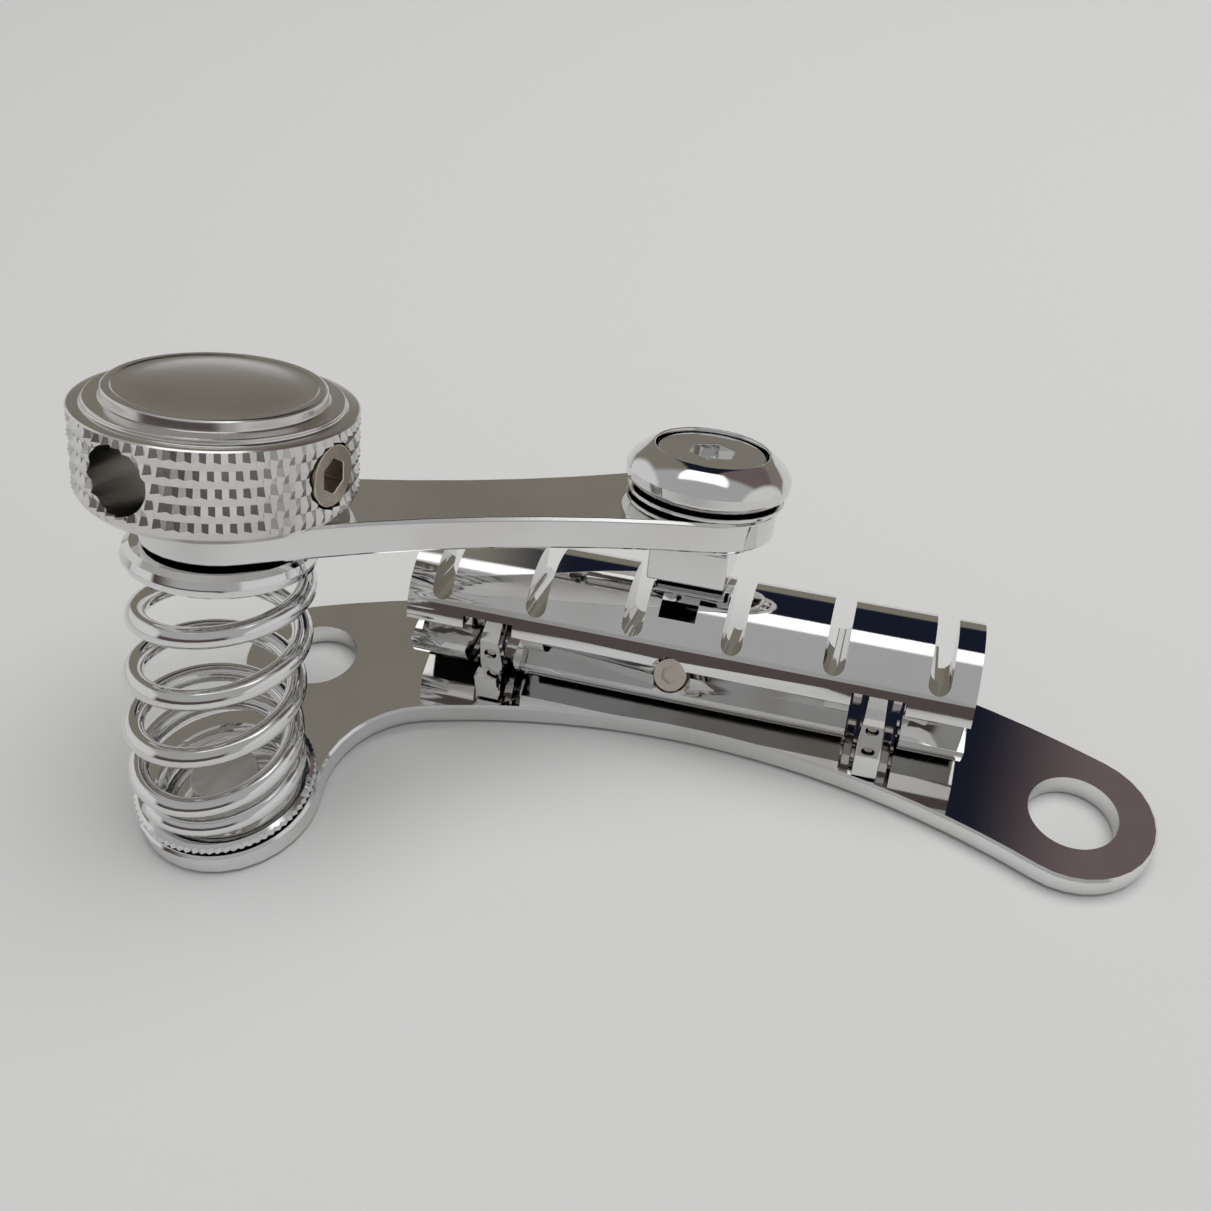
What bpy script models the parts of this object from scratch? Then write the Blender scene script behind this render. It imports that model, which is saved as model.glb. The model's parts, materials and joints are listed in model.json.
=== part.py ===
import bpy
import bmesh
from math import asin, atan2, cos, degrees, hypot, pi, radians, sin, sqrt
from mathutils import Matrix, Vector

# Clearances: between seated faces, and round shanks in their bores
GAP = 0.0003
RUN = 0.0002
CUT = 0.002

# The frame's origin lies this far behind the stud line, on the underside
ORIGIN_BEHIND = 0.008

# Plate
STUD_SPACING = 0.082
STUD_HOLE_RADIUS = 0.0044
PLATE_THICK = 0.0024
PLATE_EDGE = 0.00025
RING_RADIUS = 0.0081
FRONT_RADIUS = 0.089
FRONT_CENTRE_X = 0.0015
BACK_RADIUS = 0.112
FOOT_X = -0.042
FOOT_Y = -0.0191
FOOT_RADIUS = 0.0092
FILLET_RADIUS = 0.0100
WAIST_RADIUS = 0.006

# Spring seat on the plate's foot
WHEEL_RADIUS = 0.00905
WHEEL_THICK = 0.0012
WHEEL_RECESS_RADIUS = 0.006
WHEEL_FLOOR = 0.0005
SEAT_HEAD_RADIUS = 0.0034
SEAT_HEAD_THICK = 0.0007
SEAT_SHANK_RADIUS = 0.0017

# Posts, profile from the side
POST_SPREAD = 0.0406
POST_WIDTH = 0.00245
POST_TOP_WIDTH = 0.0016
POST_FRONT = -0.0013
POST_FOOT_TOP = 0.0058
POST_FACE = 0.0008
POST_FACE_TOP = 0.0092
POST_SHOULDER_Y = 0.0032
POST_SHOULDER_Z = 0.0106
POST_BACK = 0.0100
BOSS_RADIUS = 0.0032
GRUB_RADIUS = 0.0005
GRUB_LENGTH = 0.0022
GRUB_Z = 0.0074
FOOT_SCREW_RADIUS = 0.0007
FOOT_SCREW_HEAD = 0.0018
FOOT_SCREW_LENGTH = 0.0048
FOOT_SCREW_Y = 0.005

# Pivot of the string bar
PIVOT_Y = 0.00744
PIVOT_Z = 0.0089
PIN_RADIUS = 0.0015
PIN_LENGTH = 0.0108
BUSH_RADIUS = 0.00365
REST_TILT = 18.3

# String bar, sizes in its own level frame round the pivot
BAR_RADIUS = 0.0073
BAR_LENGTH = 0.0586
BAR_TOP_ANGLE = 102.0
GROOVE_RADIUS = 0.0039
GROOVE_TOP_ANGLE = -1.3
GROOVE_LOW_ANGLE = -28.3
BAR_BOTTOM = -0.00616
BAR_BACK = -0.001
BAR_BACK_TOP = 0.0022
BAR_LIP_Y = 0.0012
BAR_LIP_Z = 0.0063
STRING_SPACING = 0.01026
STRING_COUNT = 6
SLOT_WIDTH = 0.00215
SLOT_FLOOR = 0.0024
NOTCH_WIDTH = 0.0054
NOTCH_RADIUS = 0.0056
NOTCH_ANGLE = 9.3
WEB_RADIUS = 0.0046
WEB_THICK = 0.0025

# Arm post standing in the bar
STEM_X = -0.0008
STEM_Y = 0.0008
STEM_SIDE = 0.004
STEM_BOTTOM = -0.0044
HEAD_SIDE = 0.0081
HEAD_BOTTOM = 0.00745
HEAD_TOP = 0.0114
SOCKET_WALL = 0.001
BLOCK_FLOOR = 0.0006
BLOCK_TOP = 0.0062
WINDOW_WIDTH = 0.0038
WINDOW_HEIGHT = 0.0028
WINDOW_ANGLE = 50.0
BAR_SCREW_RADIUS = 0.0017
BAR_SCREW_ANGLE = 26.0
BAR_SCREW_DROP = 0.0041
BAR_SCREW_TIP = 0.0006
BAR_SCREW_FACE = 0.0042
BAR_SCREW_HEX = 0.0010

# Lever and what sits on it, heights from the plane under knob and cap
LEVER_X = -0.00035
LEVER_Y = 0.0008
LEVER_LIFT = 0.01693
LEVER_ROLL = 2.09
LEVER_LENGTH = 0.047
LEVER_HEADING = 212.6
LEVER_TOP = -0.001
LEVER_THICK = 0.0032
LEVER_EDGE = 0.0003
LEVER_CAP_RADIUS = 0.0075
LEVER_KNOB_RADIUS = 0.0072
LEVER_SIDE_RADIUS = 0.1026
WASHER_THICK = 0.0004
CAP_WASHER_RADIUS = 0.008
LEVER_WASHER_RADIUS = 0.0062
CAP_RADIUS = 0.00835
CAP_BASE_RADIUS = 0.0076
CAP_TOP_RADIUS = 0.00595
CAP_HEIGHT = 0.0041
CAP_WIDEST = 0.0014
CAP_RECESS_FLOOR = 0.0012
CAP_HEAD_RADIUS = 0.0054
CAP_HEAD_THICK = 0.0022
CAP_SHANK_RADIUS = 0.0015
CAP_SHANK_REACH = 0.0035
CAP_HEX = 0.0024
RETAINER_RADIUS = 0.0088
RETAINER_THICK = 0.0022
BOLT_HEAD_RADIUS = 0.004
BOLT_HEAD_THICK = 0.0016
BOLT_RADIUS = 0.0025
BOLT_REACH = 0.0065
KNOB_WASHER_RADIUS = 0.007
KNOB_RADIUS = 0.0122
KNOB_BASE_RADIUS = 0.0114
KNOB_BAND_TOP = 0.0081
KNOB_STEP_RADIUS = 0.0109
KNOB_STEP_TOP = 0.0089
KNOB_RIM_RADIUS = 0.0094
KNOB_TOP_RADIUS = 0.00845
KNOB_EDGE_TOP = 0.0099
KNOB_ROUND = 0.0003
KNOB_DOME = 0.0103
ARM_HOLE_RADIUS = 0.003
ARM_HOLE_DEPTH = 0.0085
ARM_HOLE_HEADING = -102.0
ARM_HOLE_Z = 0.0045
KNOB_GRUB_RADIUS = 0.00275
KNOB_GRUB_HEX = 0.0016
KNOB_GRUB_LENGTH = 0.0045
KNOB_GRUB_HEADING = -8.0

# Spring
WIRE_RADIUS = 0.001
COIL_RADIUS = 0.0076
COIL_TURNS = 4.65
CLOSED_TURNS = 1.1
TOP_TURNS = 0.1
CLOSED_PITCH = 0.00245
COIL_START = 235.0
COIL_HAND = 1
POINTS_PER_TURN = 10

ROUND = 32
FINE = 48


def clearScene():
    for obj in list(bpy.data.objects):
        bpy.data.objects.remove(obj, do_unlink=True)


def material(name, color, roughness, metallic=1.0):
    mat = bpy.data.materials.new(name)
    mat.use_nodes = True
    shader = mat.node_tree.nodes["Principled BSDF"]
    shader.inputs["Base Color"].default_value = (*color, 1.0)
    shader.inputs["Roughness"].default_value = roughness
    shader.inputs["Metallic"].default_value = metallic
    return mat


def addObject(name, bm, parent=None, mat=None, location=(0, 0, 0)):
    bmesh.ops.recalc_face_normals(bm, faces=bm.faces)
    mesh = bpy.data.meshes.new(name)
    bm.to_mesh(mesh)
    bm.free()
    obj = bpy.data.objects.new(name, mesh)
    obj.parent = parent or root
    obj.location = location
    if mat:
        mesh.materials.append(mat)
        mesh.shade_smooth()
        mesh.set_sharp_from_angle(angle=radians(32))
    bpy.context.collection.objects.link(obj)
    return obj


def addEmpty(name, location, rotation=(0, 0, 0), parent=None):
    empty = bpy.data.objects.new(name, None)
    empty.empty_display_size = 0.005
    empty.location = location
    empty.rotation_euler = rotation
    empty.parent = parent or root
    bpy.context.collection.objects.link(empty)
    return empty


# A cutter or added form stays hidden and is read by a Boolean
def shape(target, label, bm, operation="DIFFERENCE", location=None):
    place = target.location if location is None else location
    tool = addObject(target.name + "_" + label, bm, target.parent, None, place)
    tool.hide_render = True
    tool.display_type = "WIRE"
    boolean = target.modifiers.new(label, "BOOLEAN")
    boolean.operation = operation
    boolean.object = tool
    boolean.solver = "EXACT"


def bevel(obj, width):
    edge = obj.modifiers.new("edge", "BEVEL")
    edge.width = width
    edge.segments = 1
    edge.limit_method = "ANGLE"
    edge.angle_limit = radians(60)


def arc(centre, radius, start, end, steps):
    points = []
    for i in range(steps + 1):
        angle = start + (end - start) * i / steps
        points.append((centre[0] + radius * cos(angle), centre[1] + radius * sin(angle)))
    return points


def heading(origin, target):
    return atan2(target[1] - origin[1], target[0] - origin[0])


# Centre of a circle that lies r1 from one point and r2 from another
def meeting(p1, r1, p2, r2, side):
    dx = p2[0] - p1[0]
    dy = p2[1] - p1[1]
    apart = hypot(dx, dy)
    along = (r1 * r1 - r2 * r2 + apart * apart) / (2 * apart)
    off = side * sqrt(r1 * r1 - along * along)
    x = p1[0] + (along * dx - off * dy) / apart
    y = p1[1] + (along * dy + off * dx) / apart
    return (x, y)


def after(start, angle):
    while angle < start:
        angle += 2 * pi
    return angle


def before(start, angle):
    while angle > start:
        angle -= 2 * pi
    while angle < start - 2 * pi:
        angle += 2 * pi
    return angle


def plateOutline():
    half = STUD_SPACING / 2
    right = (half, 0)
    left = (-half, 0)
    foot = (FOOT_X, FOOT_Y)
    reach = FRONT_RADIUS + RING_RADIUS
    front = (FRONT_CENTRE_X, -sqrt(reach ** 2 - (half - FRONT_CENTRE_X) ** 2))
    back = (0, -sqrt((BACK_RADIUS - RING_RADIUS) ** 2 - half ** 2))
    waist = meeting(left, RING_RADIUS + WAIST_RADIUS, foot, FOOT_RADIUS + WAIST_RADIUS, -1)
    fillet = meeting(front, FRONT_RADIUS - FILLET_RADIUS, foot, FOOT_RADIUS + FILLET_RADIUS, -1)
    points = []
    a0 = heading(right, front)
    points += arc(right, RING_RADIUS, a0, after(a0, heading(back, right)), 16)
    a0 = heading(back, right)
    points += arc(back, BACK_RADIUS, a0, after(a0, heading(back, left)), 22)[1:]
    a0 = heading(back, left)
    points += arc(left, RING_RADIUS, a0, after(a0, heading(left, waist)), 12)[1:]
    a0 = heading(waist, left)
    points += arc(waist, WAIST_RADIUS, a0, before(a0, heading(waist, foot)), 6)[1:]
    a0 = heading(foot, waist)
    points += arc(foot, FOOT_RADIUS, a0, after(a0, heading(foot, fillet)), 20)[1:]
    a0 = heading(fillet, foot)
    points += arc(fillet, FILLET_RADIUS, a0, before(a0, heading(front, fillet)), 8)[1:]
    a0 = heading(front, fillet)
    points += arc(front, FRONT_RADIUS, a0, before(a0, heading(front, right)), 22)[1:-1]
    return points


def extrusion(points, low, high, alongX=False):
    def place(u, v, w):
        return Vector((w, u, v)) if alongX else Vector((u, v, w))

    bm = bmesh.new()
    face = bm.faces.new([bm.verts.new(place(u, v, low)) for u, v in points])
    grown = bmesh.ops.extrude_face_region(bm, geom=[face])["geom"]
    moved = [item for item in grown if isinstance(item, bmesh.types.BMVert)]
    bmesh.ops.translate(bm, verts=moved, vec=place(0, 0, high - low))
    return bm


# A solid of revolution from radius and height pairs; closed means a ring
def lathe(profile, steps, closed=False):
    bm = bmesh.new()
    verts = [bm.verts.new((r, 0, z)) for r, z in profile]
    edges = [bm.edges.new(pair) for pair in zip(verts, verts[1:])]
    if closed:
        edges.append(bm.edges.new((verts[-1], verts[0])))
    bmesh.ops.spin(bm, geom=verts + edges, cent=(0, 0, 0), axis=(0, 0, 1),
                   angle=2 * pi, steps=steps, use_merge=True)
    bmesh.ops.remove_doubles(bm, verts=bm.verts, dist=1e-7)
    return bm


def ring(radius, bore, low, high, steps=ROUND):
    return lathe([(bore, low), (radius, low), (radius, high), (bore, high)], steps, True)


def turned(axis, angle):
    return Matrix.Rotation(radians(angle), 4, axis)


# Cylinder that starts at a point and runs along a direction
def rod(start, direction, radius, length, sides=ROUND, bm=None):
    bm = bm or bmesh.new()
    aim = Vector(direction).normalized()
    middle = Vector(start) + aim * length / 2
    matrix = Matrix.Translation(middle) @ aim.to_track_quat("Z", "Y").to_matrix().to_4x4()
    bmesh.ops.create_cone(bm, cap_ends=True, segments=sides, radius1=radius,
                          radius2=radius, depth=length, matrix=matrix)
    return bm


def box(low, high, turn=None):
    bm = bmesh.new()
    middle = (Vector(low) + Vector(high)) / 2
    size = Vector(high) - Vector(low)
    matrix = Matrix.Translation(middle) @ Matrix.Diagonal((*size, 1))
    bmesh.ops.create_cube(bm, size=1, matrix=turn @ matrix if turn else matrix)
    return bm


def polar(radius, angle):
    return (-radius * cos(radians(angle)), radius * sin(radians(angle)))


def sweep(radius, start, end, steps):
    return [polar(radius, start + (end - start) * i / steps) for i in range(steps + 1)]


def buildPlate(steel):
    plate = addObject("base_plate", extrusion(plateOutline(), 0, PLATE_THICK), None, steel)
    bevel(plate, PLATE_EDGE)
    for name, side in (("stud_right", 1), ("stud_left", -1)):
        start = (side * STUD_SPACING / 2, 0, -CUT)
        shape(plate, name, rod(start, (0, 0, 1), STUD_HOLE_RADIUS, PLATE_THICK + 2 * CUT, FINE))
    start = (FOOT_X, FOOT_Y, -CUT)
    shape(plate, "seat_hole", rod(start, (0, 0, 1), SEAT_SHANK_RADIUS + RUN, PLATE_THICK + 2 * CUT))
    for name, side in (("right", 1), ("left", -1)):
        x = side * POST_SPREAD / 2
        start = (x, FOOT_SCREW_Y, -CUT)
        bore = rod(start, (0, 0, 1), FOOT_SCREW_RADIUS + RUN, PLATE_THICK + 2 * CUT, 16)
        shape(plate, "screw_hole_" + name, bore)
        depth = PLATE_THICK / 2
        head = rod(start, (0, 0, 1), FOOT_SCREW_HEAD + RUN, CUT + depth, 24)
        shape(plate, "screw_head_" + name, head)


def buildSeat(steel, dark):
    axis = addEmpty("seat_axis", (FOOT_X, FOOT_Y, PLATE_THICK))
    low = GAP
    high = low + WHEEL_THICK
    bore = SEAT_SHANK_RADIUS + RUN
    floor = low + WHEEL_FLOOR
    profile = [(bore, low), (WHEEL_RADIUS, low), (WHEEL_RADIUS, high),
               (WHEEL_RECESS_RADIUS, high), (WHEEL_RECESS_RADIUS, floor), (bore, floor)]
    addObject("seat_wheel", lathe(profile, FINE, True), axis, steel)
    head = floor + GAP
    profile = [(0, -PLATE_THICK + GAP), (SEAT_SHANK_RADIUS, -PLATE_THICK + GAP),
               (SEAT_SHANK_RADIUS, head), (SEAT_HEAD_RADIUS, head),
               (SEAT_HEAD_RADIUS, head + SEAT_HEAD_THICK), (0, head + SEAT_HEAD_THICK)]
    addObject("seat_screw", lathe(profile, ROUND), axis, dark)


def postProfile(low):
    boss = []
    for angle in range(110, -21, -10):
        boss.append((PIVOT_Y + BOSS_RADIUS * cos(radians(angle)),
                     PIVOT_Z + BOSS_RADIUS * sin(radians(angle))))
    points = [(POST_FRONT, low), (POST_FRONT, POST_FOOT_TOP), (POST_FACE, POST_FOOT_TOP),
              (POST_FACE, POST_FACE_TOP), (POST_SHOULDER_Y, POST_SHOULDER_Z)]
    return points + boss + [(POST_BACK, low)]


def buildPosts(steel, nickel):
    low = PLATE_THICK + GAP
    top = PIVOT_Z + BOSS_RADIUS
    for name, side in (("left", -1), ("right", 1)):
        x = side * POST_SPREAD / 2
        bm = extrusion(postProfile(low), -POST_WIDTH / 2, POST_WIDTH / 2, True)
        for vert in bm.verts:
            rise = max(0, vert.co.z - POST_FOOT_TOP) / (top - POST_FOOT_TOP)
            vert.co.x *= 1 - rise * (1 - POST_TOP_WIDTH / POST_WIDTH)
        post = addObject("post_" + name, bm, None, steel, (x, 0, 0))
        start = (-POST_WIDTH, PIVOT_Y, PIVOT_Z)
        shape(post, "pin_bore", rod(start, (1, 0, 0), PIN_RADIUS + RUN, 2 * POST_WIDTH, 20))
        start = (0, POST_FACE - CUT, GRUB_Z)
        length = CUT + GRUB_LENGTH + 2 * GAP
        shape(post, "grub_bore", rod(start, (0, 1, 0), GRUB_RADIUS + RUN, length, 12))
        start = (0, FOOT_SCREW_Y, low - CUT)
        reach = PLATE_THICK / 2 - GAP + FOOT_SCREW_LENGTH
        bore = rod(start, (0, 0, 1), FOOT_SCREW_RADIUS + RUN, reach + GAP - low + CUT, 16)
        shape(post, "screw_bore", bore)
        start = (x, POST_FACE + GAP, GRUB_Z)
        addObject("post_grub_" + name, rod(start, (0, 1, 0), GRUB_RADIUS, GRUB_LENGTH, 12), None, nickel)
        under = PLATE_THICK / 2 - GAP
        profile = [(0, GAP), (FOOT_SCREW_HEAD, GAP), (FOOT_SCREW_HEAD, under),
                   (FOOT_SCREW_RADIUS, under), (FOOT_SCREW_RADIUS, reach), (0, reach)]
        addObject("foot_screw_" + name, lathe(profile, 16), None, nickel, (x, FOOT_SCREW_Y, 0))
        start = (x - PIN_LENGTH / 2, PIVOT_Y, PIVOT_Z)
        addObject("pin_" + name, rod(start, (1, 0, 0), PIN_RADIUS, PIN_LENGTH, 20), None, nickel)


def barSection():
    arcEnd = degrees(asin(BAR_BOTTOM / BAR_RADIUS))
    points = sweep(BAR_RADIUS, BAR_TOP_ANGLE, GROOVE_TOP_ANGLE, 18)
    points += sweep(GROOVE_RADIUS, GROOVE_TOP_ANGLE, GROOVE_LOW_ANGLE, 4)
    points += sweep(BAR_RADIUS, GROOVE_LOW_ANGLE, arcEnd, 5)
    points += [(BAR_BACK, BAR_BOTTOM), (BAR_BACK, BAR_BACK_TOP), (BAR_LIP_Y, BAR_LIP_Z)]
    return points


def notchSection():
    far = BAR_RADIUS + CUT
    points = [polar(far, NOTCH_ANGLE)]
    points += sweep(NOTCH_RADIUS, NOTCH_ANGLE, 180, 16)
    return points + [(far, 0), (far, -far), (-far, -far)]


def buildBar(axis, steel, nickel, bronze):
    half = BAR_LENGTH / 2
    bar = addObject("string_bar", extrusion(barSection(), -half, half, True), axis, steel)
    wall = STEM_SIDE / 2 + RUN + SOCKET_WALL
    low = (STEM_X - wall, BAR_BACK - 0.0015, STEM_BOTTOM - RUN - BLOCK_FLOOR)
    high = (STEM_X + wall, STEM_Y + wall, BLOCK_TOP)
    shape(bar, "block", box(low, high), "UNION")
    inner = NOTCH_WIDTH / 2
    webs = bmesh.new()
    for side in (-1, 1):
        for edge in (-1, 1):
            x = side * POST_SPREAD / 2 + edge * inner
            start = (x - WEB_THICK if edge < 0 else x, 0, 0)
            rod(start, (1, 0, 0), WEB_RADIUS, WEB_THICK, ROUND, webs)
    shape(bar, "webs", webs, "UNION")
    for name, side in (("left", -1), ("right", 1)):
        x = side * POST_SPREAD / 2
        shape(bar, "notch_" + name, extrusion(notchSection(), x - inner, x + inner, True))
        start = (x - PIN_LENGTH / 2 - GAP, 0, 0)
        bore = rod(start, (1, 0, 0), PIN_RADIUS + RUN, PIN_LENGTH + 2 * GAP, 20)
        shape(bar, "bore_" + name, bore)
    for i in range(STRING_COUNT):
        x = (i - (STRING_COUNT - 1) / 2) * STRING_SPACING
        r = SLOT_WIDTH / 2
        points = arc((x, SLOT_FLOOR + r), r, -pi, 0, 8)
        points += [(x + r, BAR_RADIUS + CUT), (x - r, BAR_RADIUS + CUT)]
        slot = extrusion(points, -BAR_RADIUS - CUT, BAR_RADIUS)
        bmesh.ops.transform(slot, matrix=Matrix(((1, 0, 0, 0), (0, 0, 1, 0), (0, 1, 0, 0), (0, 0, 0, 1))),
                            verts=slot.verts)
        shape(bar, "slot_%d" % (i + 1), slot)
    side = STEM_SIDE / 2 + RUN
    low = (STEM_X - side, STEM_Y - side, STEM_BOTTOM - RUN)
    shape(bar, "socket", box(low, (STEM_X + side, STEM_Y + side, BAR_RADIUS + CUT)))
    turn = Matrix.Translation((STEM_X, 0, 0)) @ turned("X", -WINDOW_ANGLE)
    low = (-WINDOW_WIDTH / 2, -BAR_RADIUS - CUT, -WINDOW_HEIGHT / 2)
    shape(bar, "window", box(low, (WINDOW_WIDTH / 2, -STEM_SIDE / 2 - RUN, WINDOW_HEIGHT / 2), turn))
    aim = Vector((0, *polar(1, BAR_SCREW_ANGLE)))
    foot = Vector((STEM_X, *polar(BAR_SCREW_DROP, BAR_SCREW_ANGLE - 90)))
    start = foot + aim * BAR_SCREW_TIP
    length = BAR_SCREW_FACE - BAR_SCREW_TIP
    shape(bar, "screw_bore", rod(foot - aim * RUN, aim, BAR_SCREW_RADIUS + RUN, 2 * BAR_RADIUS, 24))
    screw = addObject("bar_screw", rod(start, aim, BAR_SCREW_RADIUS, length, 24), axis, nickel)
    start = foot + aim * (BAR_SCREW_FACE - BAR_SCREW_HEX)
    shape(screw, "hex", rod(start, aim, BAR_SCREW_HEX, CUT, 6))
    for i, (post, edge) in enumerate(((-1, -1), (-1, 1), (1, -1), (1, 1))):
        share = (PIVOT_Z - POST_FOOT_TOP) / (PIVOT_Z + BOSS_RADIUS - POST_FOOT_TOP)
        near = (POST_WIDTH + (POST_TOP_WIDTH - POST_WIDTH) * max(0, share - 0.6)) / 2 + GAP
        far = inner - RUN
        x = post * POST_SPREAD / 2 + (near if edge > 0 else -far)
        bm = ring(BUSH_RADIUS, PIN_RADIUS + RUN, 0, far - near, 28)
        bmesh.ops.transform(bm, matrix=turned("Y", 90), verts=bm.verts)
        addObject("bush_%d" % (i + 1), bm, axis, bronze, (x, 0, 0))


def buildArmPost(axis, steel):
    half = HEAD_SIDE / 2
    bm = box((-half, -half, HEAD_BOTTOM), (half, half, HEAD_TOP))
    post = addObject("arm_post", bm, axis, steel, (STEM_X, STEM_Y, 0))
    side = STEM_SIDE / 2
    stem = box((-side, -side, STEM_BOTTOM), (side, side, HEAD_BOTTOM + (HEAD_TOP - HEAD_BOTTOM) / 2))
    shape(post, "stem", stem, "UNION")
    start = (0, 0, HEAD_TOP - CAP_SHANK_REACH - GAP)
    shape(post, "bore", rod(start, (0, 0, 1), CAP_SHANK_RADIUS + 2 * RUN, CAP_SHANK_REACH + CUT, 20))


def leverOutline():
    knob = (LEVER_LENGTH * cos(radians(LEVER_HEADING)), LEVER_LENGTH * sin(radians(LEVER_HEADING)))
    cap = (0, 0)
    toCap = LEVER_CAP_RADIUS + LEVER_SIDE_RADIUS
    toKnob = LEVER_KNOB_RADIUS + LEVER_SIDE_RADIUS
    above = meeting(cap, toCap, knob, toKnob, -1)
    below = meeting(cap, toCap, knob, toKnob, 1)
    a0 = heading(cap, below)
    points = arc(cap, LEVER_CAP_RADIUS, a0, after(a0, heading(cap, above)), 18)
    a0 = heading(above, cap)
    points += arc(above, LEVER_SIDE_RADIUS, a0, before(a0, heading(above, knob)), 8)[1:]
    a0 = heading(knob, above)
    points += arc(knob, LEVER_KNOB_RADIUS, a0, after(a0, heading(knob, below)), 18)[1:]
    a0 = heading(below, knob)
    points += arc(below, LEVER_SIDE_RADIUS, a0, before(a0, heading(below, cap)), 8)[1:-1]
    return points, knob


def buildLever(frame, steel, dark, nickel, nylon):
    points, knob = leverOutline()
    under = LEVER_TOP - LEVER_THICK
    lever = addObject("lever", extrusion(points, under, LEVER_TOP), frame, steel)
    bevel(lever, LEVER_EDGE)
    bore = CAP_SHANK_RADIUS + RUN
    boltBore = BOLT_RADIUS + RUN
    shape(lever, "cap_bore", rod((0, 0, under - CUT), (0, 0, 1), bore, LEVER_THICK + 2 * CUT, 20))
    start = (*knob, under - CUT)
    shape(lever, "bolt_bore", rod(start, (0, 0, 1), boltBore, LEVER_THICK + 2 * CUT, 24))
    low = under - GAP - WASHER_THICK
    addObject("lever_washer", ring(LEVER_WASHER_RADIUS, bore, low, under - GAP), frame, steel)
    low = LEVER_TOP + GAP
    addObject("cap_washer", ring(CAP_WASHER_RADIUS, bore, low, low + WASHER_THICK), frame, dark)
    inner = CAP_HEAD_RADIUS + GAP
    profile = [(bore, 0), (CAP_BASE_RADIUS, 0), (CAP_RADIUS, CAP_WIDEST - 0.0006),
               (CAP_RADIUS, CAP_WIDEST + 0.0004), (CAP_RADIUS - 0.0006, CAP_WIDEST + 0.0014),
               (CAP_TOP_RADIUS + 0.0006, CAP_HEIGHT - 0.0004), (CAP_TOP_RADIUS, CAP_HEIGHT),
               (inner, CAP_HEIGHT), (inner, CAP_RECESS_FLOOR), (bore, CAP_RECESS_FLOOR)]
    addObject("cap", lathe(profile, FINE, True), frame, steel)
    low = CAP_RECESS_FLOOR + GAP
    tip = -LEVER_LIFT + HEAD_TOP - CAP_SHANK_REACH + GAP
    profile = [(0, tip), (CAP_SHANK_RADIUS, tip), (CAP_SHANK_RADIUS, low), (CAP_HEAD_RADIUS, low),
               (CAP_HEAD_RADIUS, low + CAP_HEAD_THICK), (0, low + CAP_HEAD_THICK)]
    screw = addObject("cap_screw", lathe(profile, ROUND), frame, nickel)
    start = (0, 0, low + CAP_HEAD_THICK - 0.0014)
    shape(screw, "hex", rod(start, (0, 0, 1), CAP_HEX, CUT, 6))
    axis = addEmpty("knob_axis", (*knob, 0), parent=frame)
    top = under - GAP
    low = top - RETAINER_THICK
    profile = [(boltBore, low), (RETAINER_RADIUS - 0.0008, low), (RETAINER_RADIUS - 0.0002, low + 0.0004),
               (RETAINER_RADIUS, low + 0.001), (RETAINER_RADIUS - 0.0003, top - 0.0004),
               (RETAINER_RADIUS - 0.0009, top), (boltBore, top)]
    addObject("retainer", lathe(profile, FINE, True), axis, dark)
    head = low - GAP
    profile = [(0, head - BOLT_HEAD_THICK), (BOLT_HEAD_RADIUS, head - BOLT_HEAD_THICK),
               (BOLT_HEAD_RADIUS, head), (BOLT_RADIUS, head), (BOLT_RADIUS, BOLT_REACH), (0, BOLT_REACH)]
    addObject("knob_bolt", lathe(profile, ROUND), axis, nickel)
    low = LEVER_TOP + GAP
    addObject("knob_washer", ring(KNOB_WASHER_RADIUS, boltBore, low, low + WASHER_THICK), axis, nylon)
    return axis, head


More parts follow.
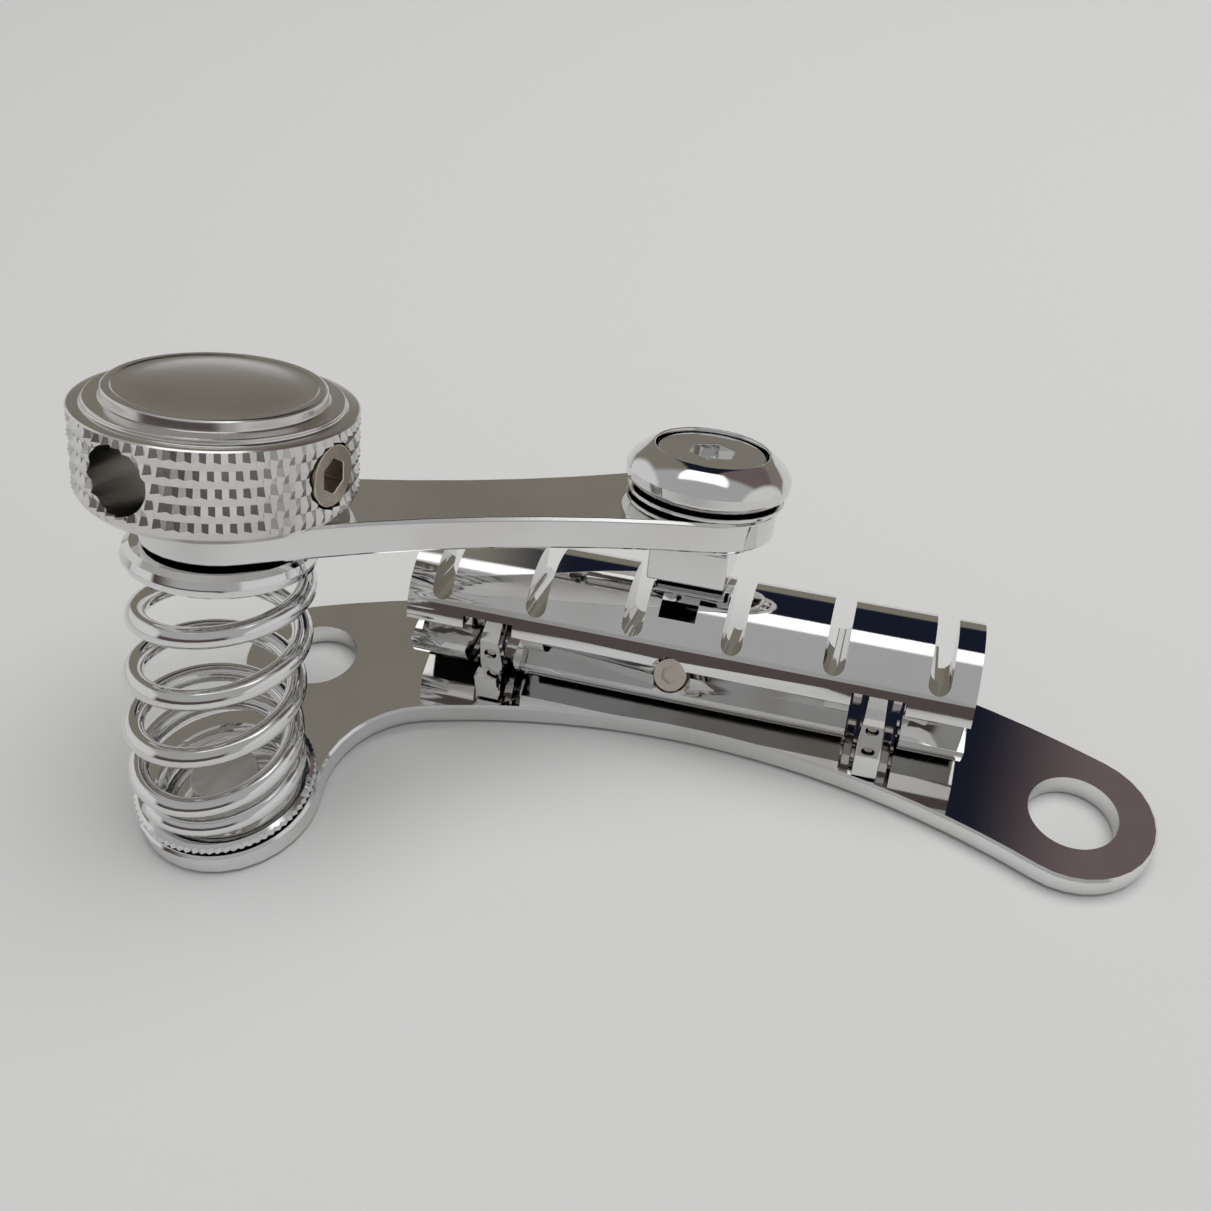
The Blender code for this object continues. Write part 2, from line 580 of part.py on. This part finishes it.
def buildKnob(axis, steel, nickel):
    bore = BOLT_RADIUS + RUN
    roof = BOLT_REACH + GAP
    profile = [(0, roof), (bore, roof), (bore, 0), (KNOB_BASE_RADIUS, 0), (KNOB_RADIUS, 0.0006),
               (KNOB_RADIUS, KNOB_BAND_TOP), (KNOB_RADIUS - KNOB_ROUND, KNOB_BAND_TOP + KNOB_ROUND),
               (KNOB_STEP_RADIUS, KNOB_BAND_TOP + KNOB_ROUND),
               (KNOB_STEP_RADIUS, KNOB_STEP_TOP - KNOB_ROUND / 2),
               (KNOB_STEP_RADIUS - KNOB_ROUND / 2, KNOB_STEP_TOP), (KNOB_RIM_RADIUS, KNOB_STEP_TOP),
               (KNOB_RIM_RADIUS, KNOB_EDGE_TOP - KNOB_ROUND),
               (KNOB_RIM_RADIUS - KNOB_ROUND, KNOB_EDGE_TOP), (KNOB_TOP_RADIUS, KNOB_EDGE_TOP),
               (0, KNOB_DOME)]
    knob = addObject("knob", lathe(profile, FINE), axis, steel)
    for name, turn, radius, depth in (("arm_hole", ARM_HOLE_HEADING, ARM_HOLE_RADIUS, ARM_HOLE_DEPTH),
                                      ("grub_bore", KNOB_GRUB_HEADING, KNOB_GRUB_RADIUS + RUN,
                                       KNOB_GRUB_LENGTH + 2 * GAP)):
        out = Vector((cos(radians(turn)), sin(radians(turn)), 0))
        start = out * (KNOB_RADIUS - depth) + Vector((0, 0, ARM_HOLE_Z))
        shape(knob, name, rod(start, out, radius, depth + CUT, 28))
    out = Vector((cos(radians(KNOB_GRUB_HEADING)), sin(radians(KNOB_GRUB_HEADING)), 0))
    start = out * (KNOB_RADIUS - GAP - KNOB_GRUB_LENGTH) + Vector((0, 0, ARM_HOLE_Z))
    grub = addObject("knob_grub", rod(start, out, KNOB_GRUB_RADIUS, KNOB_GRUB_LENGTH, 28), axis, nickel)
    start = out * (KNOB_RADIUS - 2 * KNOB_GRUB_HEX) + Vector((0, 0, ARM_HOLE_Z))
    shape(grub, "hex", rod(start, out, KNOB_GRUB_HEX, KNOB_RADIUS, 6))


# The coil's axis bends from the upright seat to the tilted retainer
def buildSpring(axis, head, steel):
    bpy.context.view_layer.update()
    world = root.matrix_world.inverted() @ axis.matrix_world
    top = world @ Vector((0, 0, head - WIRE_RADIUS))
    lean = (world.to_3x3() @ Vector((0, 0, 1))).normalized()
    foot = Vector((FOOT_X, FOOT_Y, PLATE_THICK + 2 * GAP + WHEEL_THICK + WIRE_RADIUS))
    rise = (top - foot).length
    first = foot + Vector((0, 0, rise / 3))
    last = top - lean * rise / 3
    count = int(COIL_TURNS * POINTS_PER_TURN)
    openTurns = COIL_TURNS - CLOSED_TURNS - TOP_TURNS
    closedShare = CLOSED_PITCH / rise
    openShare = 1 - (CLOSED_TURNS + TOP_TURNS) * closedShare
    points = []
    for i in range(count + 1):
        turn = i / POINTS_PER_TURN
        share = min(turn, CLOSED_TURNS) * closedShare
        share += min(max(turn - CLOSED_TURNS, 0), openTurns) / openTurns * openShare
        share += max(turn - CLOSED_TURNS - openTurns, 0) * closedShare
        u = 1 - share
        centre = foot * u ** 3 + first * 3 * u * u * share + last * 3 * u * share ** 2 + top * share ** 3
        up = Vector((0, 0, 1)).lerp(lean, share).normalized()
        sideways = (Vector((1, 0, 0)) - up * up.x).normalized()
        forward = up.cross(sideways)
        angle = radians(COIL_START) + COIL_HAND * 2 * pi * turn
        points.append(centre + COIL_RADIUS * (sideways * cos(angle) + forward * sin(angle)))
    least = min((points[i] - points[j]).length for i in range(count + 1)
                for j in range(i + POINTS_PER_TURN // 2, count + 1))
    print("spring: least gap to itself %.2f mm" % ((least - 2 * WIRE_RADIUS) * 1000))
    curve = bpy.data.curves.new("spring", "CURVE")
    curve.dimensions = "3D"
    curve.bevel_depth = WIRE_RADIUS
    curve.bevel_resolution = 1
    curve.use_fill_caps = True
    spline = curve.splines.new("POLY")
    spline.points.add(count)
    for point, place in zip(spline.points, points):
        point.co = (*place, 1)
    curve.materials.append(steel)
    spring = bpy.data.objects.new("spring", curve)
    spring.parent = root
    bpy.context.collection.objects.link(spring)


clearScene()
root = None
root = addEmpty("stud_line", (0, -ORIGIN_BEHIND, 0))
chrome = material("chrome", (0.72, 0.72, 0.73), 0.06)
shade = material("dark_chrome", (0.35, 0.32, 0.30), 0.12)
nickel = material("nickel", (0.66, 0.60, 0.52), 0.25)
bronze = material("bronze", (0.55, 0.45, 0.32), 0.3)
nylon = material("nylon", (0.75, 0.74, 0.70), 0.5, 0.0)
buildPlate(chrome)
buildSeat(chrome, shade)
buildPosts(chrome, nickel)
barAxis = addEmpty("bar_axis", (0, PIVOT_Y, PIVOT_Z), (radians(-REST_TILT), 0, 0))
buildBar(barAxis, chrome, nickel, bronze)
buildArmPost(barAxis, chrome)
place = (LEVER_X, LEVER_Y, LEVER_LIFT)
leverFrame = addEmpty("lever_frame", place, (0, radians(LEVER_ROLL), 0), barAxis)
knobAxis, headTop = buildLever(leverFrame, chrome, shade, nickel, nylon)
buildKnob(knobAxis, chrome, nickel)
buildSpring(knobAxis, headTop, chrome)
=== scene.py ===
import bpy
import bmesh
from math import cos, pi, radians, sin
from mathutils import Matrix, Vector
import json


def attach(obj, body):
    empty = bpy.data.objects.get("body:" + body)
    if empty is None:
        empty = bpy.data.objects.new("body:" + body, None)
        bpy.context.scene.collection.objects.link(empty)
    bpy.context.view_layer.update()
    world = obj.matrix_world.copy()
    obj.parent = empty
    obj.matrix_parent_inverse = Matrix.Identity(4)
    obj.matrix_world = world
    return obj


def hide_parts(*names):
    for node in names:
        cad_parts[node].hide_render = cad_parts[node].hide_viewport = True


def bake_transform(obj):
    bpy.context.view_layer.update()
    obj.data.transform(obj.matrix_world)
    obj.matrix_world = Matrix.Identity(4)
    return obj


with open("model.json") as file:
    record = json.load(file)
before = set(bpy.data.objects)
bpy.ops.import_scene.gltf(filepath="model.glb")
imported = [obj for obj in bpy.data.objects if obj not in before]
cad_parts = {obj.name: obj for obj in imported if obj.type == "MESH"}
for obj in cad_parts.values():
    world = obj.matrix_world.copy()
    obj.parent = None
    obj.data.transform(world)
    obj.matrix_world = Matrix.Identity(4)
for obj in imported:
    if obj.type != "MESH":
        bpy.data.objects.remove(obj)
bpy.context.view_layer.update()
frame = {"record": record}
bodies = frame["record"]["behaviour"]["bodies"]
bodyOf = {node: body for body, nodes in bodies.items() for node in nodes}
print("frame loaded")


# Wraps a socket so that shader sums read as plain expressions
class Value:
    def __init__(self, tree, made, index=0):
        self.tree = tree
        self.made = made
        self.socket = made.outputs[index]

    def output(self, index):
        return Value(self.tree, self.made, index)

    def math(self, operation, other, swap=False):
        first, second = (other, self) if swap else (self, other)
        return self.tree.node("ShaderNodeMath", {"operation": operation}, {0: first, 1: second})

    def __add__(self, other):
        return self.math("ADD", other)

    def __radd__(self, other):
        return self.math("ADD", other, True)

    def __sub__(self, other):
        return self.math("SUBTRACT", other)

    def __rsub__(self, other):
        return self.math("SUBTRACT", other, True)

    def __mul__(self, other):
        return self.math("MULTIPLY", other)

    def __rmul__(self, other):
        return self.math("MULTIPLY", other, True)


class Tree:
    def __init__(self, owner):
        owner.use_nodes = True
        self.nodes = owner.node_tree.nodes
        self.links = owner.node_tree.links
        self.nodes.clear()

    def node(self, kind, settings=None, sockets=None, output=0):
        made = self.nodes.new(kind)
        for key, setting in (settings or {}).items():
            setattr(made, key, setting)
        for key, socket in (sockets or {}).items():
            if isinstance(socket, Value):
                self.links.new(socket.socket, made.inputs[key])
            else:
                made.inputs[key].default_value = socket
        return Value(self, made, output) if made.outputs else None

    # 0 below low, 1 above high, smooth between
    def step(self, value, low, high):
        sockets = {"Value": value, "From Min": low, "From Max": high}
        return self.node("ShaderNodeMapRange", {"interpolation_type": "SMOOTHSTEP"}, sockets)

    def mix(self, share, first, second):
        colours = [c if isinstance(c, Value) else (*c, 1) for c in (first, second)]
        sockets = {0: share, 6: colours[0], 7: colours[1]}
        return self.node("ShaderNodeMix", {"data_type": "RGBA"}, sockets, 2)


# Plated metal: a faint cloud dulls it in places, a fine grain breaks up its mirror
grain = {"cloudScale": 90.0, "cloudDetail": 3.0, "fineScale": 2600.0, "fineDetail": 2.0,
         "tintFrom": 0.4, "tintTo": 0.75, "dullFrom": 0.45, "dullTo": 0.8, "fineShare": 0.5,
         "height": 0.00002}


def metal(name, clean, dull, roughness, spread, bump):
    mat = bpy.data.materials.new(name)
    tree = Tree(mat)
    place = tree.node("ShaderNodeTexCoord", output=3)  # Object coordinates
    cloud = tree.node("ShaderNodeTexNoise", None, {
        "Vector": place, "Scale": grain["cloudScale"], "Detail": grain["cloudDetail"]})
    fine = tree.node("ShaderNodeTexNoise", None, {
        "Vector": place, "Scale": grain["fineScale"], "Detail": grain["fineDetail"]})
    tint = tree.mix(tree.step(cloud, grain["tintFrom"], grain["tintTo"]), clean, dull)
    clouded = tree.step(cloud, grain["dullFrom"], grain["dullTo"])
    rough = roughness + spread * clouded + spread * grain["fineShare"] * fine
    normal = tree.node("ShaderNodeBump", None, {
        "Strength": bump, "Distance": grain["height"], "Height": fine})
    shader = tree.node("ShaderNodeBsdfPrincipled", None, {
        "Base Color": tint, "Roughness": rough, "Normal": normal, "Metallic": 1.0})
    tree.node("ShaderNodeOutputMaterial", None, {"Surface": shader})
    return mat


chrome = metal("mirrorChrome", (0.80, 0.80, 0.80), (0.74, 0.73, 0.71), 0.035, 0.03, 0.05)
darkChrome = metal("darkChrome", (0.62, 0.59, 0.57), (0.52, 0.48, 0.46), 0.07, 0.05, 0.08)
satin = metal("knurlChrome", (0.74, 0.73, 0.71), (0.62, 0.60, 0.57), 0.16, 0.10, 0.15)
nickel = metal("warmNickel", (0.70, 0.64, 0.56), (0.56, 0.50, 0.43), 0.22, 0.12, 0.3)
print("metals made")


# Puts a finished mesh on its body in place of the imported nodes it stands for
def keep(name, bm, body, mat, slot, *nodes, angle=28):
    mesh = bpy.data.meshes.new(name)
    bm.to_mesh(mesh)
    bm.free()
    mesh.materials.clear()
    mesh.materials.append(mat)
    mesh.shade_smooth()
    mesh.set_sharp_from_angle(angle=radians(angle))
    piece = bpy.data.objects.new(name, mesh)
    bpy.context.collection.objects.link(piece)
    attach(piece, body)
    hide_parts(*nodes)
    return piece


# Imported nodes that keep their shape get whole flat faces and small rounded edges
dressing = {
    "edge": 0.0001, "sharper": 38, "merge": 2e-6, "flat": 0.6, "segments": 2,
    "edges": {"base_plate": 0.0002, "string_bar": 0.00018, "lever": 0.0003, "arm_post": 0.00025,
              "post_left": 0.00012, "post_right": 0.00012, "cap": 0.0002, "retainer": 0.0002},
    "slots": {"chrome": chrome, "dark_chrome": darkChrome, "nickel": nickel, "bronze": darkChrome,
              "nylon": nickel},
    "finishes": {"cap_screw": chrome, "cap_washer": chrome, "retainer": chrome, "seat_screw": satin,
                 "pin_left": darkChrome, "pin_right": darkChrome},
    "modelled": {"knob", "spring", "seat_wheel"}}


def dress(node, slot, s):
    bm = bmesh.new()
    bm.from_mesh(bpy.data.objects[node].data)
    bmesh.ops.remove_doubles(bm, verts=bm.verts, dist=s["merge"])
    bmesh.ops.dissolve_limit(bm, angle_limit=radians(s["flat"]), verts=bm.verts, edges=bm.edges)
    finish = s["finishes"].get(node, s["slots"][slot])
    piece = keep(node + "_fine", bm, bodyOf[node], finish, slot, node)
    edge = piece.modifiers.new("edge", "BEVEL")
    edge.width = s["edges"].get(node, s["edge"])
    edge.segments = s["segments"]
    edge.limit_method = "ANGLE"
    edge.angle_limit = radians(s["sharper"])
    edge.harden_normals = True


for part in frame["record"]["subparts"]:
    if part["node"] not in dressing["modelled"]:
        dress(part["node"], part["material_slot"], dressing)
print("packed nodes dressed")

# The knob's frame: its bottom centre, tilted with the lever
lean = {"tilt": 18.3, "roll": 2.09, "place": (-0.039919, -0.018073, 0.034045)}
knobFrame = Matrix.Rotation(radians(-lean["tilt"]), 4, "X")
knobFrame = knobFrame @ Matrix.Rotation(radians(lean["roll"]), 4, "Y")
knobFrame.translation = Vector(lean["place"])

# Points this close are one point, and a point this close to a radius is on it
onePoint = 1e-7
onRadius = 1e-6


def spun(profile, steps, closed=False):
    bm = bmesh.new()
    verts = [bm.verts.new((r, 0, z)) for r, z in profile]
    rim = [bm.edges.new(pair) for pair in zip(verts, verts[1:])]
    if closed:
        rim.append(bm.edges.new((verts[-1], verts[0])))
    bmesh.ops.spin(bm, geom=verts + rim, cent=(0, 0, 0), axis=(0, 0, 1), angle=2 * pi,
                   steps=steps, use_merge=True)
    bmesh.ops.remove_doubles(bm, verts=bm.verts, dist=onePoint)
    bmesh.ops.recalc_face_normals(bm, faces=bm.faces)
    return bm


def rodMesh(start, aim, radius, length, sides):
    bm = bmesh.new()
    matrix = Matrix.Translation(start + aim * length / 2)
    matrix = matrix @ aim.to_track_quat("Z", "Y").to_matrix().to_4x4()
    bmesh.ops.create_cone(bm, cap_ends=True, segments=sides, radius1=radius, radius2=radius,
                          depth=length, matrix=matrix)
    return bm


def loose(name, bm):
    mesh = bpy.data.meshes.new(name)
    bm.to_mesh(mesh)
    bm.free()
    obj = bpy.data.objects.new(name, mesh)
    bpy.context.collection.objects.link(obj)
    return obj


def cutAway(bm, tools):
    solid = loose("solid", bm)
    cutters = [loose("cutter", tool) for tool in tools]
    for cutter in cutters:
        boolean = solid.modifiers.new("cut", "BOOLEAN")
        boolean.operation = "DIFFERENCE"
        boolean.object = cutter
    result = bmesh.new()
    result.from_mesh(solid.evaluated_get(bpy.context.evaluated_depsgraph_get()).to_mesh())
    for obj in cutters + [solid]:
        bpy.data.objects.remove(obj, do_unlink=True)
    return result


# Which tooth or gap a rim point belongs to
def columnOf(vert, teeth):
    return round(Vector((1, 0)).angle_signed(vert.co.xy) / pi * teeth)


# Knob, turned, knurled in rows of small pyramids, bored for the arm and its set screw
knobSizes = {
    "radius": 0.0122, "base": 0.0114, "bandLow": 0.0006, "bandTop": 0.0081, "rows": 5,
    "teeth": 68, "depth": 0.00038, "bore": 0.0027, "roof": 0.0068, "foot": 0.0004, "sharp": 16,
    "crown": [(0.01215, 0.00825), (0.01200, 0.00837), (0.01185, 0.0084), (0.0111, 0.00842),
              (0.01095, 0.0085), (0.0109, 0.0086), (0.0109, 0.00875), (0.01085, 0.00884),
              (0.01075, 0.0089), (0.0106, 0.0089), (0.0096, 0.00892), (0.00945, 0.0090),
              (0.0094, 0.0092), (0.0094, 0.0096), (0.00936, 0.00974), (0.00925, 0.00985),
              (0.0091, 0.0099), (0.0086, 0.0099), (0.00845, 0.00982), (0.0083, 0.0098),
              (0.0065, 0.01003), (0.004, 0.0102), (0, 0.0103)],
    "armHole": {"heading": -102.0, "radius": 0.003, "depth": 0.0085},
    "screwHole": {"heading": -8.0, "radius": 0.00295, "depth": 0.0051},
    "holeHeight": 0.0045, "holeSides": 40, "clear": 0.002}


def buildKnob(s):
    levels = 2 * s["rows"]
    tall = (s["bandTop"] - s["bandLow"]) / levels
    profile = [(0, s["roof"]), (s["bore"], s["roof"]), (s["bore"], 0), (s["base"] - s["foot"], 0),
               (s["base"], s["foot"] / 4)]
    profile += [(s["radius"], s["bandLow"] + i * tall) for i in range(levels + 1)]
    bm = spun(profile + s["crown"], 2 * s["teeth"])
    share = 1 - s["depth"] / s["radius"]
    for vert in bm.verts:
        if abs(vert.co.xy.length - s["radius"]) > onRadius:
            continue
        level = round((vert.co.z - s["bandLow"]) / tall)
        column = columnOf(vert, s["teeth"])
        if level % 2 == 0 or column % 2 != (level // 2) % 2:
            vert.co.x *= share
            vert.co.y *= share
    tools = []
    for hole in (s["armHole"], s["screwHole"]):
        out = Vector((cos(radians(hole["heading"])), sin(radians(hole["heading"])), 0))
        start = out * (s["radius"] - hole["depth"]) + Vector((0, 0, s["holeHeight"]))
        tools.append(rodMesh(start, out, hole["radius"], hole["depth"] + s["clear"], s["holeSides"]))
    bm = cutAway(bm, tools)
    bmesh.ops.transform(bm, matrix=knobFrame, verts=bm.verts)
    keep("knob_fine", bm, "knob_body", satin, "chrome", "knob", angle=s["sharp"])
    print("knob made")


buildKnob(knobSizes)

# Seat wheel under the spring, with its toothed rim and a stepped recess
wheelSizes = {"x": -0.042, "y": -0.0271, "low": 0.0027, "high": 0.0039, "radius": 0.00905,
              "teeth": 72, "depth": 0.00022, "recess": 0.006, "floor": 0.0032, "bore": 0.0019,
              "underEdge": 0.0004, "underRise": 0.0003, "topEdge": 0.0005, "stepOut": 0.0008,
              "stepIn": 0.0001, "step": 0.0002}


def buildWheel(s):
    middle = s["low"] + (s["high"] - s["low"]) / 2
    stepTop = s["high"] - s["step"]
    profile = [(s["bore"], s["low"]), (s["radius"] - s["underEdge"], s["low"]),
               (s["radius"], s["low"] + s["underRise"]), (s["radius"], middle), (s["radius"], stepTop),
               (s["radius"] - s["topEdge"], s["high"]), (s["recess"] + s["stepOut"], s["high"]),
               (s["recess"] + s["stepOut"] - s["step"], stepTop), (s["recess"] + s["stepIn"], stepTop),
               (s["recess"], stepTop - s["stepIn"]), (s["recess"], s["floor"]), (s["bore"], s["floor"])]
    bm = spun(profile, 2 * s["teeth"], True)
    share = 1 - s["depth"] / s["radius"]
    for vert in bm.verts:
        if vert.co.xy.length > s["radius"] - onRadius and columnOf(vert, s["teeth"]) % 2 == 0:
            vert.co.x *= share
            vert.co.y *= share
    bmesh.ops.translate(bm, vec=(s["x"], s["y"], 0), verts=bm.verts)
    keep("seat_wheel_fine", bm, "seat", chrome, "chrome", "seat_wheel")
    print("seat wheel made")


buildWheel(wheelSizes)

# Spring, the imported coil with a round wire; it bends from the upright seat to the tilted lever
springSizes = {"wire": 0.001, "coil": 0.0076, "turns": 4.65, "closed": 1.1, "top": 0.1,
               "pitch": 0.00245, "start": 235.0, "perTurn": 48, "round": 6,
               "foot": (-0.042, -0.0271, 0.0042), "headLow": -0.007}


def coilShare(turn, s, rise):
    closedShare = s["pitch"] / rise
    openTurns = s["turns"] - s["closed"] - s["top"]
    openShare = 1 - (s["closed"] + s["top"]) * closedShare
    share = min(turn, s["closed"]) * closedShare
    share += min(max(turn - s["closed"], 0), openTurns) / openTurns * openShare
    return share + max(turn - s["closed"] - openTurns, 0) * closedShare


def buildSpring(s):
    tilted = (knobFrame.to_3x3() @ Vector((0, 0, 1))).normalized()
    top = knobFrame @ Vector((0, 0, s["headLow"] - s["wire"]))
    foot = Vector(s["foot"]) + Vector((0, 0, s["wire"]))
    rise = (top - foot).length
    first = foot + Vector((0, 0, rise / 3))
    last = top - tilted * rise / 3
    count = int(s["turns"] * s["perTurn"])
    curve = bpy.data.curves.new("coil", "CURVE")
    curve.dimensions = "3D"
    curve.bevel_depth = s["wire"]
    curve.bevel_resolution = s["round"]
    curve.use_fill_caps = True
    spline = curve.splines.new("POLY")
    spline.points.add(count)
    for i in range(count + 1):
        turn = i / s["perTurn"]
        share = coilShare(turn, s, rise)
        u = 1 - share
        centre = foot * u ** 3 + first * 3 * u * u * share + last * 3 * u * share ** 2 + top * share ** 3
        up = Vector((0, 0, 1)).lerp(tilted, share).normalized()
        sideways = (Vector((1, 0, 0)) - up * up.x).normalized()
        angle = radians(s["start"]) + 2 * pi * turn
        place = centre + s["coil"] * (sideways * cos(angle) + up.cross(sideways) * sin(angle))
        spline.points[i].co = (*place, 1)
    coil = bpy.data.objects.new("coil", curve)
    bpy.context.collection.objects.link(coil)
    bm = bmesh.new()
    bm.from_mesh(coil.evaluated_get(bpy.context.evaluated_depsgraph_get()).to_mesh())
    bpy.data.objects.remove(coil, do_unlink=True)
    bmesh.ops.remove_doubles(bm, verts=bm.verts, dist=onePoint)
    mesh = bpy.data.meshes.new("spring_fine")
    bm.to_mesh(mesh)
    bm.free()
    mesh.materials.append(chrome)
    mesh.shade_smooth()
    piece = bpy.data.objects.new("spring_fine", mesh)
    bpy.context.collection.objects.link(piece)
    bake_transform(piece)
    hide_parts("spring")
    print("spring made")


buildSpring(springSizes)

# Floor, pale and plain
floorSizes = {"size": 4.0, "height": -0.0002, "color": (0.66, 0.66, 0.655), "rough": 0.9, "shine": 0.1}


def buildFloor(s):
    bm = bmesh.new()
    bmesh.ops.create_grid(bm, x_segments=1, y_segments=1, size=s["size"] / 2)
    floor = loose("floor", bm)
    floor.location = (0, 0, s["height"])
    mat = bpy.data.materials.new("floorPaper")
    tree = Tree(mat)
    shader = tree.node("ShaderNodeBsdfPrincipled", None, {
        "Base Color": (*s["color"], 1), "Roughness": s["rough"], "Specular IOR Level": s["shine"]})
    tree.node("ShaderNodeOutputMaterial", None, {"Surface": shader})
    floor.data.materials.append(mat)
    print("floor made")


buildFloor(floorSizes)

# Studio: a pale room with a dark opening over the far side, a soft strip overhead and
# a darker front, as the chrome in the photo shows them. Each pair of numbers is where
# a tone starts and ends along x, y or z of the direction looked in
studio = {"room": (0.40, 0.40, 0.40), "navy": (0.010, 0.012, 0.024), "olive": (0.21, 0.195, 0.165),
          "mauve": (0.15, 0.115, 0.115), "soft": (1.5, 1.5, 1.5), "brown": (0.085, 0.07, 0.066),
          "pale": (0.66, 0.66, 0.66), "navyRight": (0.10, 0.2), "navyLeft": (-0.31, -0.23),
          "navyLow": (0.24, 0.34), "farSide": (0.2, 0.36), "nearSide": (0.25, 0.4),
          "brownTop": (0.34, 0.5), "brownRight": (0.45, 0.6), "softLow": (0.89, 0.93),
          "softFar": (0.34, 0.38), "softNear": (-0.05, 0.05), "ends": (0.72, 0.8)}


def buildStudio(s):
    world = bpy.data.worlds.new("studio")
    bpy.context.scene.world = world
    tree = Tree(world)
    direction = tree.node("ShaderNodeTexCoord")
    dx = tree.node("ShaderNodeSeparateXYZ", None, {0: direction})
    dy, dz = dx.output(1), dx.output(2)
    right = tree.mix(tree.step(dx, *s["navyRight"]), s["navy"], s["mauve"])
    far = tree.mix(tree.step(dx, *s["navyLeft"]), s["olive"], right)
    far = tree.mix(tree.step(dz, *s["navyLow"]), s["olive"], far)
    room = tree.mix(tree.step(dy, *s["farSide"]), s["room"], far)
    front = tree.step(-1 * dy, *s["nearSide"]) * (1 - tree.step(dz, *s["brownTop"]))
    front = front * (1 - tree.step(dx, *s["brownRight"]))
    room = tree.mix(front, room, s["brown"])
    soft = tree.step(dz, *s["softLow"]) * (1 - tree.step(dy, *s["softFar"]))
    soft = soft * tree.step(dy, *s["softNear"])
    room = tree.mix(soft, room, s["soft"])
    ends = tree.step(dx, *s["ends"]) + tree.step(-1 * dx, *s["ends"])
    room = tree.mix(ends, room, s["pale"])
    shader = tree.node("ShaderNodeBackground", None, {"Color": room, "Strength": 1.0})
    tree.node("ShaderNodeOutputWorld", None, {"Surface": shader})
    print("studio made")


buildStudio(studio)

# A wide lamp that the metal doesn't mirror
lampSizes = {"size": 0.7, "energy": 3.72, "place": (0.12, 0.15, 0.75)}


def buildLamp(s):
    lamp = bpy.data.objects.new("softBox", bpy.data.lights.new("softBox", "AREA"))
    lamp.data.shape = "DISK"
    lamp.data.size = s["size"]
    lamp.data.energy = s["energy"]
    lamp.location = s["place"]
    lamp.rotation_euler = (-Vector(s["place"])).to_track_quat("-Z", "Y").to_euler()
    lamp.visible_glossy = False
    bpy.context.collection.objects.link(lamp)
    print("lamp made")


buildLamp(lampSizes)

# Camera, worked out from the two stud holes in the photo
cameraSizes = {"lens": 36.841, "sensor": 36, "near": 0.001, "yaw": 16.054, "pitch": 45.738,
               "roll": -0.531, "place": (0.016827, -0.091552, 0.103492)}


def buildCamera(s):
    camera = bpy.data.objects.new("camera", bpy.data.cameras.new("camera"))
    camera.data.lens = s["lens"]
    camera.data.sensor_width = s["sensor"]
    camera.data.clip_start = s["near"]
    turn = Matrix.Rotation(radians(s["yaw"]), 4, "Z")
    turn = turn @ Matrix.Rotation(radians(s["pitch"]), 4, "X")
    turn = turn @ Matrix.Rotation(radians(s["roll"]), 4, "Z")
    camera.matrix_world = Matrix.Translation(s["place"]) @ turn
    bpy.context.collection.objects.link(camera)
    bpy.context.scene.camera = camera
    bpy.context.scene.view_settings.view_transform = "Standard"
    print("camera set")


buildCamera(cameraSizes)
